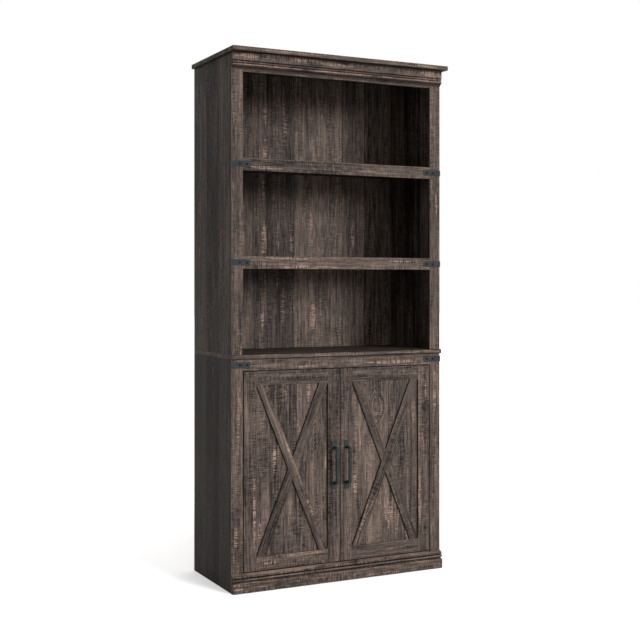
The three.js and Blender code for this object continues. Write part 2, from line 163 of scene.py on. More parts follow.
# A section carried along a path in the plane of y and z: point(u, v) = path(u) + s0(v) X + s1(v) side(u),
# where side(u) is the path's tangent turned by 90 degrees from y towards z. Both ends are closed.
# Known fault: X, side and tangent are left-handed, so the faces point inwards.
def carried(path, section, x):
    path = np.array(path, float)
    outline, _, _ = roundedOutline(section["corners"], section["radius"], section["steps"])
    tangent = np.gradient(path, axis=0)
    tangent /= np.linalg.norm(tangent, axis=1, keepdims=True)
    side = np.stack([-tangent[:, 1], tangent[:, 0]], axis=1)
    across = np.broadcast_to(x + outline[None, :, 0, None], (len(path), len(outline), 1))
    inPlane = path[:, None] + outline[None, :, 1, None] * side[:, None]
    points = np.concatenate([across, inPlane], -1)
    rows, columns = points.shape[:2]
    faces = gridFaces(rows, columns).tolist()
    faces.append(list(range(columns))[::-1])
    faces.append(list(range((rows - 1) * columns, rows * columns)))
    return {"points": points.reshape(-1, 3), "faces": faces}


# Points on an arc, from one angle to another in degrees.
def arcPoints(a, b, radius, start, end, steps=10):
    angle = np.radians(np.linspace(start, end, steps + 1))
    return np.stack([a + radius * np.cos(angle), b + radius * np.sin(angle)], 1).tolist()


# Points along a shallow parabola: p(t) = from + t way + 4 swell t (1 - t) to the right of the way.
def bowPoints(start, end, swell, steps=10):
    start, end = np.array(start, float), np.array(end, float)
    way = end - start
    right = np.array([way[1], -way[0]]) / np.linalg.norm(way)
    t = np.linspace(0, 1, steps + 1)[:, None]
    return (start + t * way + 4 * swell * t * (1 - t) * right).tolist()


# Boards that are darker or lighter than the rest.
boardShade = {
    "door_meeting_stile_right": -0.12,
    "door_brace_lower_half_left": -0.10,
    "door_brace_right": -0.10,
    # the lower stiles are lighter as painted light: the floor's bounce
    "lower_stile_left": 0.06,
    "lower_stile_right": 0.08,
    "upper_stile_left": -0.06,
    "door_rail": 0.06,
    "shelf_rail_2": 0.06,
    "door_top_rail_right": -0.04,
}


printed = {
    "reach": 20,          # metres of print that the boards are cut from
    "shadeSpread": 0.05,  # how far the other boards differ
    "plankJump": (37.0, 11.0),  # metres through and along the grain between planks whose tones differ by 1
}

# How dark painted shade makes a face, from 0 to 1: the sideways faces of each kind of piece, slab tops and
# undersides. The doors' sideways faces are painted nearly black, as painted shade.
paintedShadeLevels = {"door": 1.0, "stile": 0.7, "rail": 0.5, "slabTop": 0.4, "underside": 0.8}


# Turns the piece's own coordinates into those of the printed grain: across, through and along it.
# lean tips the grain in the plane of x and z, in radians. Every board is cut from its own stretch of the
# print, apart from a planked panel, which keeps its place.
def grainCoordinates(points, axis, lean=0.0, planked=False):
    turn = np.array([[math.cos(lean), 0, -math.sin(lean)], [0, 1, 0], [math.sin(lean), 0, math.cos(lean)]])
    across, through, along = axisOrder[axis]
    shift = rng.uniform(-printed["reach"], printed["reach"], 3) * (not planked)
    return (points @ turn.T)[:, [across, through, along]] + shift


def makeMesh(name, surface):
    mesh = bpy.data.meshes.new(name)
    mesh.from_pydata(surface["points"].tolist(), [], surface["faces"])
    mesh.shade_smooth()
    if "normals" in surface:
        mesh.normals_split_custom_set_from_vertices(surface["normals"].tolist())
    mesh.validate()
    piece = bpy.data.objects.new(name, mesh)
    bpy.context.scene.collection.objects.link(piece)
    return piece


# Gives a wooden piece its grain coordinates, its worn edges and the painted highlights on moulding crests,
# its painted shade in hollows, on sideways faces, slab tops and undersides, and its own tone.
def storeGrain(piece, coordinates, worn, stain, paintedShadeDomain="POINT"):
    grain = piece.data.attributes.new("grain", "FLOAT_VECTOR", "POINT")
    grain.data.foreach_set("vector", coordinates.astype(np.float32).ravel())
    own = rng.uniform(-printed["shadeSpread"], printed["shadeSpread"])
    shade = np.full(len(worn), boardShade.get(piece.name.removesuffix("_oak"), own))
    fields = (("wear", worn, "POINT"), ("stain", stain, paintedShadeDomain), ("shade", shade, "POINT"))
    for name, values, domain in fields:
        attribute = piece.data.attributes.new(name, "FLOAT", domain)
        attribute.data.foreach_set("value", values.astype(np.float32))


def bodyOf(node):
    return frame["nodes"][node]["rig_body"]


def finishPiece(piece, material, slot, body, *nodes):
    piece.data.materials.append(material)
    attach(piece, body)
    if nodes:
        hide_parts(*nodes)
    return piece


# How dark the painted shade on the sideways faces of a piece is.
def paintedEdgeShade(node):
    if node.startswith("door_") and node != "door_rail":
        return paintedShadeLevels["door"]
    if "stile" in node:
        return paintedShadeLevels["stile"]
    if "rail" in node or "slab" in node or "moulding" in node:
        return paintedShadeLevels["rail"]
    return 0.0


squareOn = (8 / 15, 13 / 15)  # how far a normal turns to a direction before a face counts as facing it
leaning = (0.1, 0.6)


# 0 below the low value, 1 above the high one, and a straight rise between them.
def ramp(values, low, high):
    return np.clip((values - low) / (high - low), 0, 1)


# A wooden piece that stands for one CAD node.
def woodPiece(node, surface, axis, material, slot="front_wood", lean=0.0, planked=False):
    piece = makeMesh(node + "_oak", surface)
    normals = surface["normals"]
    # painted shade: sideways faces, slab tops and undersides are darkened where shade falls
    stain = np.maximum(surface["stain"], paintedEdgeShade(node) * ramp(np.abs(normals[:, 0]), *squareOn))
    if "slab" in node:
        stain = np.maximum(stain, paintedShadeLevels["slabTop"] * ramp(normals[:, 2], *squareOn))
    if "slab" in node or "moulding" in node:
        stain = np.maximum(stain, paintedShadeLevels["underside"] * ramp(-normals[:, 2], *leaning))
    storeGrain(piece, grainCoordinates(surface["points"], axis, lean, planked), surface["worn"], stain)
    return finishPiece(piece, material, slot, bodyOf(node), node)


boardEase = 0.9 * mm


# A square board in the box of its CAD node, with its grain along one axis.
def board(node, axis, material, slot="front_wood", ease=boardEase, planked=False):
    low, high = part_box(node)
    a, b, c = axisOrder[axis]
    corners = [(low[a], low[b]), (high[a], low[b]), (high[a], high[b]), (low[a], high[b])]
    surface = easedPrism(corners, axis, low[c], high[c], ease)
    return woodPiece(node, surface, axis, material, slot, 0.0, planked)


# One output socket. Arithmetic on it adds Math nodes to its graph.
class Wire:
    def __init__(self, graph, socket):
        self.graph = graph
        self.socket = socket

    def __add__(self, other):
        return self.graph.math("ADD", self, other)

    def __radd__(self, other):
        return self.graph.math("ADD", other, self)

    def __sub__(self, other):
        return self.graph.math("SUBTRACT", self, other)

    def __rsub__(self, other):
        return self.graph.math("SUBTRACT", other, self)

    def __mul__(self, other):
        return self.graph.math("MULTIPLY", self, other)

    def __rmul__(self, other):
        return self.graph.math("MULTIPLY", other, self)


class Graph:
    def __init__(self, name):
        self.material = bpy.data.materials.new(name)
        self.material.use_nodes = True
        self.tree = self.material.node_tree
        self.shader = self.tree.nodes["Principled BSDF"]

    # Adds a node: its settings first, then a value or a link for each socket.
    def add(self, kind, settings=None, inputs=None, output=0):
        node = self.tree.nodes.new(kind)
        for key, value in (settings or {}).items():
            if key == "stops":
                self.setStops(node.color_ramp, value)
            elif key == "spread":
                node.color_ramp.interpolation = value
            else:
                setattr(node, key, value)
        for key, value in (inputs or {}).items():
            self.feed(node.inputs[key], value)
        return Wire(self, node.outputs[output])

    def feed(self, socket, value):
        if isinstance(value, Wire):
            self.tree.links.new(value.socket, socket)
        else:
            socket.default_value = value

    def setStops(self, ramp, stops):
        while len(ramp.elements) < len(stops):
            ramp.elements.new(1.0)
        for element, (place, colour) in zip(ramp.elements, stops):
            element.position = place
            element.color = (*colour, 1.0)

    def math(self, operation, a, b):
        return self.add("ShaderNodeMath", {"operation": operation}, {0: a, 1: b})

    def attribute(self, name, output):
        return self.add("ShaderNodeAttribute", {"attribute_name": name}, {}, output)

    def scaled(self, vector, factors):
        return self.add("ShaderNodeVectorMath", {"operation": "MULTIPLY"}, {0: vector, 1: factors})

    def noise(self, vector, detail=2.0, roughness=0.5, distortion=0.0):
        inputs = {"Vector": vector, "Scale": 1.0, "Detail": detail}
        inputs.update({"Roughness": roughness, "Distortion": distortion})
        return self.add("ShaderNodeTexNoise", {"noise_dimensions": "3D"}, inputs)

    # 0 below the first value, 1 above the second, with a smooth rise between them.
    def rise(self, value, low, high):
        inputs = {"Value": value, "From Min": low, "From Max": high}
        return self.add("ShaderNodeMapRange", {"interpolation_type": "SMOOTHSTEP"}, inputs)

    def blend(self, factor, a, b, kind="MIX"):
        inputs = {0: factor, 6: a, 7: b}
        return self.add("ShaderNodeMix", {"data_type": "RGBA", "blend_type": kind}, inputs, 2)

    def finish(self, **sockets):
        for name, value in sockets.items():
            self.feed(self.shader.inputs[name.replace("_", " ")], value)
        return self.material


def grey(value):
    return (value, value, value)


# The oak's patterns: how often each repeats in a metre, across, through and along the grain, then its detail,
# roughness and distortion.
oakPatterns = {
    "zones": ((19, 19, 2.1), 3.0, 0.55, 0.0),
    "streaks": ((130, 130, 4.6), 4.0, 0.62, 0.0),
    "fibres": ((330, 330, 26), 2.0, 0.6, 0.0),
    "dashes": ((42, 42, 230), 1.0, 0.55, 0.0),
    "sway": ((24, 24, 14), 1.0, 0.5, 0.0),
    "columns": ((40, 40, 3.4), 2.0, 0.5, 0.0),
    "rings": ((7.5, 7.5, 0.8), 1.0, 0.4, 0.2),
    "ringPatches": ((6, 6, 1.5), 1.0, 0.5, 0.0),
    "rubbed": ((38, 38, 4.6), 3.0, 0.6, 0.0),
    "edges": ((20, 20, 9), 2.0, 0.5, 0.0),
}

oakLook = {
    "tones": [
        (0.0, (0.0042, 0.0028, 0.0019)),
        (0.25, (0.0172, 0.0126, 0.0104)),
        (0.5, (0.0312, 0.0232, 0.0194)),
        (0.75, (0.0450, 0.0329, 0.0266)),
        (1.0, (0.074, 0.054, 0.043)),
    ],
    "worn": (0.146, 0.097, 0.077, 1.0),
    # the colour of the painted shade in hollows, on sideways faces, slab tops and undersides
    "paintedShadeColour": (0.0015, 0.0010, 0.0008, 1.0),
    "sawPitch": 6.6 * mm,
    # how much each pattern adds to the tone
    "zones": 1.2,
    "streaks": 1.8,
    "fibres": 1.5,
    "saw": 0.21,
    "rings": 0.1,
    "knots": 0.24,
    # the saw marks' wander, the weight of their dashes, and the narrow columns that they stand in
    "sway": 14.0,
    "dashes": 6.0,
    "columnRise": (0.42, 0.6),
    "betweenColumns": 0.3,
    # the growth rings: their count, where they show and how far the streaks bend them
    "ringCount": 150.0,
    "ringRise": (0.5, 0.6),
    "ringBend": 4.0,
    "knotRings": 34.0,
    "knotRise": (0.0, 0.35),
    "knotBend": 3.0,
    "knotWander": 1.6,
    # the tan wood: where it starts to show, how strong it is, what a patch adds, and how worn edges are, with
    # the painted highlights on moulding crests; then how dark the painted shade is
    "wornFrom": 0.61,
    "wornSpan": 0.12,
    "wornDepth": 0.8,
    "patchLift": 0.27,
    "patchRise": (0.0, 0.8),
    "brokenRise": (-0.25, 0.55),
    "brokenFibres": 3.0,
    "unbroken": 0.1,
    "edgeRise": (0.36, 0.58),
    "edgeDepth": 0.4,
    "paintedShadeDepth": 0.85,
    "roughness": 0.6,
    "roughnessSpread": 0.5,
    "gloss": 0.05,
    # the relief: how much each pattern lifts it, and the worn wood lowers it
    "relief": {"fibres": 0.35, "saw": 0.12, "streaks": 0.3, "worn": 0.15},
    "reliefHeight": 0.8 * mm,
    "reliefStrength": 0.4,
}

# Patches rubbed down to the tan wood: x and z of the middle, half width and half height, and lean in degrees.
stilePatches = [
    (-148, 345, 9, 60, 22.3), (-116, 262, 8, 50, 22.3), (-200, 470, 7, 55, 22.3), (386, 600, 13, 80, 0),
    (388, 470, 12, 60, 0), (384, 690, 10, 40, 0), (-388, 180, 10, 70, 0), (-322, 270, 7, 170, 0),
    (322, 260, 7, 150, 0), (345, 640, 7, 70, 0), (-398, 600, 6, 60, 0), (390, 1300, 8, 90, 0),
]
railPatches = [
    (190, 745, 170, 11, 0), (60, 741, 60, 6, 0), (-150, 740, 70, 5, 0), (-150, 103, 120, 7, 0),
    (-262, 88, 45, 9, 0), (-280, 1410, 110, 9, 0), (-60, 1414, 90, 5, 0), (160, 1412, 120, 6, 0),
    (-120, 1078, 220, 6, 0), (240, 1100, 90, 6, 0), (-180, 1106, 120, 4, 0), (-200, 1793, 200, 6, 0),
    (330, 1793, 80, 8, 0),
]
mouldPatches = [
    (-270, 1745, 190, 9, 0), (80, 1745, 260, 9, 0), (350, 1745, 90, 9, 0), (-355, 1772, 55, 12, 0),
    (350, 1771, 60, 12, 0), (-20, 1772, 110, 7, 0), (-330, 35, 90, 5, 0), (-130, 36, 130, 5, 0),
    (300, 35, 120, 5, 0), (-385, 15, 25, 12, 0), (150, 8, 120, 7, 0), (-60, 56, 180, 5, 0),
]
doorPatches = [
    (195, 205, 20, 75, 0), (-119, 650, 12, 45, 0), (-53, 400, 6, 150, 0), (-245, 420, 9, 90, 0),
    (60, 330, 10, 60, 0), (300, 560, 10, 60, 0), (-300, 180, 8, 70, 0),
]
backPatches = [
    (-140, 1630, 14, 45, 0), (-138, 1500, 16, 70, 0), (-120, 1490, 5, 50, 0), (52, 1640, 6, 50, 0),
    (58, 1520, 10, 90, 0), (95, 1640, 7, 50, 0), (-140, 1180, 13, 90, 0), (50, 1230, 8, 90, 0),
    (60, 900, 22, 70, 0), (45, 1010, 10, 60, 0), (-150, 900, 12, 60, 0), (225, 1200, 9, 60, 0),
]
doorKnots = [(150, 600, 42, 105), (-95, 520, 35, 90), (-330, 240, 26, 80)]


# How near a place is to the middle of the nearest of some ellipses: 1 at a middle, 0 or less outside.
def nearness(g, places):
    place = g.add("ShaderNodeTexCoord", {}, {}, "Object")
    nearest = None
    for x, z, halfWidth, halfHeight, lean in places:
        mapping = {
            "Vector": place,
            "Location": (x * mm, 0, z * mm),
            "Rotation": (0, math.radians(-lean), 0),
            "Scale": (halfWidth * mm, 1, halfHeight * mm),
        }
        inside = g.add("ShaderNodeMapping", {"vector_type": "TEXTURE"}, mapping)
        inside = g.scaled(inside, (1, 0, 1))
        near = 1.0 - g.add("ShaderNodeVectorMath", {"operation": "LENGTH"}, {0: inside}, 1)
        nearest = near if nearest is None else g.math("MAXIMUM", nearest, near)
    return nearest


# The tone of each plank of a planked panel, about 0.5, and a thin line that is 1 on their seams.
def plankSteps(g, grain, planks):
    across = g.add("ShaderNodeSeparateXYZ", {}, {0: grain}, planks["across"])
    low, high = planks["edges"][0], planks["edges"][-1]
    width = high - low
    place = (across - low) * (1 / width)
    tones = [((edge - low) / width, grey(0.5 + tone)) for edge, tone in zip(planks["edges"], planks["tones"])]
    lines = [(0.0, grey(0.0))]
    for edge in planks["edges"][1:-1]:
        lines.append(((edge - low) / width, grey(1.0)))
        lines.append(((edge + planks["seam"] - low) / width, grey(0.0)))
    steps = g.add("ShaderNodeValToRGB", {"stops": tones, "spread": "CONSTANT"}, {0: place})
    seams = g.add("ShaderNodeValToRGB", {"stops": lines, "spread": "CONSTANT"}, {0: place})
    return steps, seams


def oakNoise(g, grain, name):
    pitch, detail, roughness, distortion = oakPatterns[name]
    return g.noise(g.scaled(grain, pitch), detail, roughness, distortion)


# Saw marks: a ladder of dashes across the grain, which sways a little and stands in narrow columns.
def sawMarks(g, grain, look):
    along = g.add("ShaderNodeSeparateXYZ", {}, {0: grain}, 2)
    dashes = oakNoise(g, grain, "dashes")
    sway = oakNoise(g, grain, "sway")
    ladder = g.math("SINE", along * (2 * math.pi / look["sawPitch"]) + sway * look["sway"], 0.0)
    columns = g.rise(oakNoise(g, grain, "columns"), *look["columnRise"])
    between = look["betweenColumns"]
    return (ladder * 0.5 + (dashes - 0.5) * look["dashes"]) * (between + columns * (1 - between))


# Printed rustic oak. The tone is the sum of the board's own shade, its plank, broad zones, streaks, fibres,
# growth rings, saw marks and the rings round its knots. Worn tan patches lie over it all, broken up by the
# same marks, then worn edges with painted highlights on the moulding crests, and then painted shade in the
# hollows and on sideways faces, slab tops and undersides.
def rusticOak(name, look=oakLook, brightness=1.0, planks=None, patches=None, knots=None, **changes):
    look = {**look, **changes}
    g = Graph(name)
    grain = g.attribute("grain", "Vector")
    if planks:
        plank, seam = plankSteps(g, grain, planks)
        through, along = printed["plankJump"]
        jump = g.add("ShaderNodeCombineXYZ", {}, {"Y": plank * through, "Z": plank * along})
        grain = g.add("ShaderNodeVectorMath", {"operation": "ADD"}, {0: grain, 1: jump})
    zones = oakNoise(g, grain, "zones")
    streaks = oakNoise(g, grain, "streaks")
    fibres = oakNoise(g, grain, "fibres")
    saw = sawMarks(g, grain, look)
    field = oakNoise(g, grain, "rings")
    rings = g.math("SINE", field * look["ringCount"] + streaks * look["ringBend"], 0.0)
    ringPatch = g.rise(oakNoise(g, grain, "ringPatches"), *look["ringRise"])

    tone = 0.5 + g.attribute("shade", "Fac") + (zones - 0.5) * look["zones"]
    tone = tone + (streaks - 0.5) * look["streaks"] + (fibres - 0.5) * look["fibres"]
    tone = tone + saw * look["saw"] + rings * ringPatch * look["rings"]
    if planks:
        tone = tone + plank - 0.5 - seam * planks["seamDepth"]
    for x, z, halfWidth, halfHeight in knots or []:
        near = nearness(g, [(x, z, halfWidth, halfHeight, 0)]) + (zones - 0.5) * look["knotWander"]
        arcs = g.math("SINE", near * look["knotRings"] + streaks * look["knotBend"], 0.0)
        tone = tone + arcs * g.rise(near, *look["knotRise"]) * look["knots"]
    base = g.add("ShaderNodeValToRGB", {"stops": look["tones"]}, {0: tone})

    rubbed = oakNoise(g, grain, "rubbed")
    if patches:
        rubbed = rubbed + g.rise(nearness(g, patches), *look["patchRise"]) * look["patchLift"]
    broken = g.rise(saw + (fibres - 0.5) * look["brokenFibres"], *look["brokenRise"])
    unbroken = look["unbroken"]
    bare = g.rise(rubbed, look["wornFrom"], look["wornFrom"] + look["wornSpan"])
    worn = bare * (unbroken + broken * (1 - unbroken))
    edge = g.attribute("wear", "Fac") * g.rise(oakNoise(g, grain, "edges"), *look["edgeRise"])
    colour = g.blend(worn * look["wornDepth"], base, look["worn"])
    colour = g.blend(edge * look["edgeDepth"], colour, look["worn"])
    colour = g.blend(g.attribute("stain", "Fac") * look["paintedShadeDepth"], colour, look["paintedShadeColour"])
    # a brightness below 1 makes a darkened copy of the oak: painted shade
    if brightness != 1.0:
        colour = g.blend(1.0, colour, (*grey(brightness), 1.0), "MULTIPLY")

    lift = look["relief"]
    height = fibres * lift["fibres"] + saw * lift["saw"] + streaks * lift["streaks"] - worn * lift["worn"]
    relief = {"Height": height, "Distance": look["reliefHeight"], "Strength": look["reliefStrength"]}
    bump = g.add("ShaderNodeBump", {}, relief)
    g.shader.inputs["Specular IOR Level"].default_value = look["gloss"]
    roughness = look["roughness"] + (streaks - 0.5) * look["roughnessSpread"]
    return g.finish(Base_Color=colour, Roughness=roughness, Normal=bump)


# Satin powder coat with a faint orange peel and a cloudy tone.
def ironFinish(name, colour, roughness, gloss):
    g = Graph(name)
    place = g.add("ShaderNodeTexCoord", {}, {}, "Object")
    peel = g.noise(g.scaled(place, grey(900)), 2.0)
    cloud = g.noise(g.scaled(place, grey(60)), 3.0)
    tint = g.blend(g.rise(cloud, 0.35, 0.7), (*colour, 1.0), (*[1.5 * c for c in colour], 1.0))
    bump = g.add("ShaderNodeBump", {}, {"Height": peel, "Distance": 0.0002, "Strength": 0.3})
    g.shader.inputs["Specular IOR Level"].default_value = gloss
    return g.finish(Base_Color=tint, Roughness=roughness + (cloud - 0.5) * 0.3, Normal=bump)


# Dull zinc plate with fine drawing marks.
def zincFinish(name):
    g = Graph(name)
    place = g.add("ShaderNodeTexCoord", {}, {}, "Object")
    marks = g.noise(g.scaled(place, (1500, 200, 200)), 2.0)
    cloud = g.noise(g.scaled(place, grey(90)), 2.0)
    dark, light = (0.27, 0.28, 0.30, 1.0), (0.40, 0.41, 0.42, 1.0)
    tint = g.blend(g.rise(cloud, 0.3, 0.7), dark, light)
    bump = g.add("ShaderNodeBump", {}, {"Height": marks, "Distance": 0.0001, "Strength": 0.3})
    g.shader.inputs["Metallic"].default_value = 1.0
    return g.finish(Base_Color=tint, Roughness=0.24 + marks * 0.2, Normal=bump)


# Bare brown fibreboard on the rear of the back panels.
def fibreboardFinish(name):
    g = Graph(name)
    place = g.add("ShaderNodeTexCoord", {}, {}, "Object")
    cloud = g.noise(g.scaled(place, grey(9)), 4.0, 0.7)
    fleck = g.noise(g.scaled(place, grey(420)), 2.0)
    dark, light = (0.20, 0.125, 0.07, 1.0), (0.31, 0.205, 0.125, 1.0)
    tint = g.blend(g.rise(cloud * 0.6 + fleck * 0.4, 0.3, 0.7), dark, light)
    return g.finish(Base_Color=tint, Roughness=0.85 + (fleck - 0.5) * 0.2)


# Planked panels: the axis across the planks, their seams, and each plank's near edge and tone, in order.
backPlanks = {
    "across": 0, "seam": 2 * mm, "seamDepth": 0.3,
    "edges": [-0.40, -0.165, -0.132, -0.021, 0.177, 0.236, 0.274, 0.40],
    "tones": [-0.12, 0.02, -0.24, 0.11, -0.06, 0.15, -0.10, 0.0],
}
doorPlanks = {
    "across": 0, "seam": 1.2 * mm, "seamDepth": -0.12,
    "edges": [-0.37, -0.27, -0.164, -0.10, 0.0, 0.105, 0.19, 0.27, 0.37],
    "tones": [0.05, -0.10, 0.11, 0.02, 0.0, 0.06, -0.11, 0.04, 0.0],
}
sidePlanks = {
    "across": 1, "seam": 1.5 * mm, "seamDepth": 0.15,
    "edges": [-0.16, -0.045, 0.072, 0.20],
    "tones": [0.08, -0.22, 0.12, 0.0],
}

frontOak = rusticOak("front_oak", patches=stilePatches)
railOak = rusticOak("rail_oak", patches=railPatches, zones=1.1, saw=0.27)
mouldOak = rusticOak("mould_oak", patches=mouldPatches, zones=0.9, streaks=0.8, saw=0.4)
doorOak = rusticOak("door_oak", brightness=1.05, planks=doorPlanks, patches=doorPatches, knots=doorKnots)
# The side panels, the cabinet's sides and the shelves are darkened copies of the same oak: painted shade.
sideOakShaded = rusticOak("side_oak", brightness=0.54, planks=sidePlanks, wornFrom=0.64, streaks=3.2, saw=0.3)
cabinetSideOakShaded = rusticOak(
    "cabinet_side_oak", brightness=0.31, planks=sidePlanks, wornFrom=0.6, streaks=3.6, saw=0.36)
shelfOakShaded = rusticOak("shelf_oak", brightness=0.68, wornFrom=0.67)
backOak = rusticOak("back_oak", brightness=1.02, planks=backPlanks, patches=backPatches, zones=1.2)
blackIron = ironFinish("black_iron", (0.0105, 0.0122, 0.0127), 0.62, 0.04)
darkScrew = ironFinish("dark_screw", (0.0024, 0.0027, 0.0029), 0.6, 0.04)
zinc = zincFinish("zinc_plate")
fibreboard = fibreboardFinish("fibreboard")
print("finishes made")


for node, axis, material, slot in [
    ("upper_stile_left", "z", frontOak, "front_wood"),
    ("upper_stile_right", "z", frontOak, "front_wood"),
    ("lower_stile_left", "z", frontOak, "front_wood"),
    ("lower_stile_right", "z", frontOak, "front_wood"),
    ("crown_rail", "x", railOak, "front_wood"),
    ("shelf_rail_1", "x", railOak, "front_wood"),
    ("shelf_rail_2", "x", railOak, "front_wood"),
    ("door_rail", "x", railOak, "front_wood"),
    ("shelf_1", "x", shelfOakShaded, "side_wood"),
    ("shelf_2", "x", shelfOakShaded, "side_wood"),
    ("inner_shelf", "x", shelfOakShaded, "side_wood"),
    ("hinge_post_left", "z", shelfOakShaded, "side_wood"),
    ("hinge_post_right", "z", shelfOakShaded, "side_wood"),
]:
    board(node, axis, material, slot)

panels = {
    "grooveDepth": 6 * mm,
    "grooveFit": 0.3 * mm,
    "ease": 0.9 * mm,
    "bottomEase": 0.6 * mm,
    "backEase": 0.4 * mm,
    "boredEase": 0.8 * mm,
}


# Side panel: a plan outline with the groove for the back, run upwards.
def sidePanel(node, side):
    low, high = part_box(node)
    backLow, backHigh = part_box(node.split("_")[0] + "_back")
    inner, outer = (low.x, high.x) if side > 0 else (high.x, low.x)
    bottom = inner + side * panels["grooveDepth"]
    front, rear = backLow.y - panels["grooveFit"], backHigh.y + panels["grooveFit"]
    corners = [(inner, low.y), (outer, low.y), (outer, high.y), (inner, high.y),
               (inner, rear), (bottom, rear), (bottom, front), (inner, front)]
    surface = easedPrism(corners, "z", low.z, high.z, panels["ease"])
    woodPiece(node, surface, "z", sideOakShaded, "side_wood", planked=True)


sidePanel("upper_side_left", -1)
sidePanel("upper_side_right", 1)


# The back panels are bare fibreboard behind.
def backPanel(node):
    piece = board(node, "z", backOak, "back_wood", panels["backEase"], planked=True)
    piece.data.materials.append(fibreboard)
    rearward = np.array([face.normal.y > 0.5 for face in piece.data.polygons])
    piece.data.polygons.foreach_set("material_index", rearward.astype(np.int32))


backPanel("upper_back")
backPanel("lower_back")

slabs = {"edge": 1.6 * mm, "midEdge": 4.0 * mm, "ease": 0.8 * mm}


# Slab: its side view run along x, with the front edge eased more than the rest.
def slab(node, edge):
    low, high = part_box(node)
    nose = low.y + edge
    corners = [(high.y, high.z), *arcPoints(nose, high.z - edge, edge, 90, 180, 6),
               *arcPoints(nose, low.z + edge, edge, 180, 270, 6), (high.y, low.z)]
    surface = easedPrism(corners, "x", low.x, high.x, slabs["ease"], slabs["ease"], 2)
    woodPiece(node, surface, "x", railOak)


slab("top_slab", slabs["edge"])
slab("mid_slab", slabs["midEdge"])

# Both mouldings are in millimetres, and their bead's arc in degrees.
mouldings = {"round": 0.45, "endEase": 0.3}
crown = {
    "frieze": 25.5, "groove": 4.5, "grooveDepth": 4.0, "list": 5.5, "listSlope": 1.0, "listBack": 0.8,
    "bead": 4.5, "recess": 1.5, "cove": 8.0, "hollow": 0.7, "foot": 1.0, "quirk": 4.0, "quirkHeight": 1.6,
    "quirkLips": (0.1, 0.4), "beadArc": (-75, 78),
    "crests": [(1.5, 4.5, 1.0), (13.0, 4.0, 0.9), (21.3, 2.6, 0.9), (41.0, 14.0, 0.9)],
    "hollows": [(7.2, 1.4, 0.9), (18.6, 1.2, 0.6), (26.2, 1.6, 0.5)],
}
plinth = {
    "flat": 31.8, "edge": 2.2, "shoulder": 1.6, "slope": 1.0, "groove": 5.8, "bead": 4.3, "beadBack": 1.0,
    "capBack": 3.0, "cap": 11.6, "ledge": 2.0, "quirk": 4.5, "quirkHeight": 2.2,
    "quirkLips": (0.6, 0.4, 0.2), "beadArc": (-100, 100),
    "crests": [(59.5, 4.0, 1.6), (62.0, 2.5, 1.6), (43.6, 2.8, 1.0), (31.6, 2.0, 0.9)],
    "hollows": [(36.8, 3.6, 1.3), (49.3, 2.6, 1.3)],
}


# A moulding's profile is given as millimetres in front of the face frame and up from its own foot.
# Its crests (height, half width, amount) are painted lighter as painted highlight, and its hollows darker
# as painted shade, each by amount (1 - (distance / half width)^2).
def moulding(node, profile, look, material):
    low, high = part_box(node)
    profile = np.array(profile) * mm
    corners = np.stack([high.y - profile[:, 0], low.z + profile[:, 1]], 1)
    surface = easedPrism(corners, "x", low.x, high.x, mouldings["round"] * mm, mouldings["endEase"] * mm, 2)
    heights = (surface["points"][:, 2] - low.z) / mm
    # crests go into the worn field as painted highlight, hollows into the painted shade
    for bands, field in (("crests", "worn"), ("hollows", "stain")):
        for height, halfWidth, amount in look[bands]:
            strength = amount * (1 - ((heights - height) / halfWidth) ** 2)
            surface[field] = np.maximum(surface[field], strength)
    woodPiece(node, surface, "x", material)


# Crown: a hollow cove, a bead, a quirk, a flat list, a groove and the frieze.
def crownProfile(c, depth, height):
    friezeFoot = height - c["frieze"]
    grooveFoot = friezeFoot - c["groove"]
    listFoot = grooveFoot - c["list"]
    beadMiddle = listFoot - c["bead"]
    coveTop = beadMiddle - c["bead"] - c["recess"]
    beadDepth = depth - c["bead"]
    listFront = depth - c["listBack"]
    lowLip, highLip = c["quirkLips"]
    return [
        (0, 0), *bowPoints((c["foot"], 0), (c["foot"] + c["cove"], coveTop), -c["hollow"]),
        *arcPoints(beadDepth, beadMiddle, c["bead"], *c["beadArc"], 14),
        (beadDepth - c["quirk"], listFoot - lowLip),
        (beadDepth - c["quirk"], listFoot + c["quirkHeight"] - highLip),
        (listFront - c["listSlope"], listFoot + c["quirkHeight"]), (listFront, grooveFoot),
        (depth - c["grooveDepth"], (grooveFoot + friezeFoot) / 2), (depth, friezeFoot),
        (depth, height), (0, height),
    ]


# Plinth: a tall flat with an eased edge, a bead between two quirks, and a quarter-round cap.
def plinthProfile(p, depth, height):
    beadFoot = p["flat"] + p["shoulder"] + p["groove"]
    beadDepth = depth - p["beadBack"] - p["bead"]
    quirkDepth = beadDepth - p["quirk"]
    capFoot = height - p["cap"]
    capRadius = p["cap"] - p["ledge"]
    flatLip, beadLip, capLip = p["quirkLips"]
    return [
        (0, 0), (depth, 0), *arcPoints(depth - p["edge"], p["flat"] - p["edge"], p["edge"], 0, 90, 6),
        (depth - p["edge"] - p["slope"], p["flat"] + p["shoulder"]),
        (quirkDepth, p["flat"] + p["shoulder"] + flatLip), (quirkDepth, beadFoot - beadLip),
        *arcPoints(beadDepth, beadFoot + p["bead"], p["bead"], *p["beadArc"], 14),
        (quirkDepth, capFoot - p["quirkHeight"]), (quirkDepth, capFoot - capLip),
        *arcPoints(depth - p["capBack"] - capRadius, capFoot, capRadius, 0, 90, 12),
        (p["ledge"], height), (0, height),
    ]


def mouldingSize(node):
    low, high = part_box(node)
    return (high.y - low.y) / mm, (high.z - low.z) / mm


crownSection = crownProfile(crown, *mouldingSize("crown_moulding"))
plinthSection = plinthProfile(plinth, *mouldingSize("plinth_moulding"))
moulding("crown_moulding", crownSection, crown, mouldOak)
moulding("plinth_moulding", plinthSection, plinth, mouldOak)


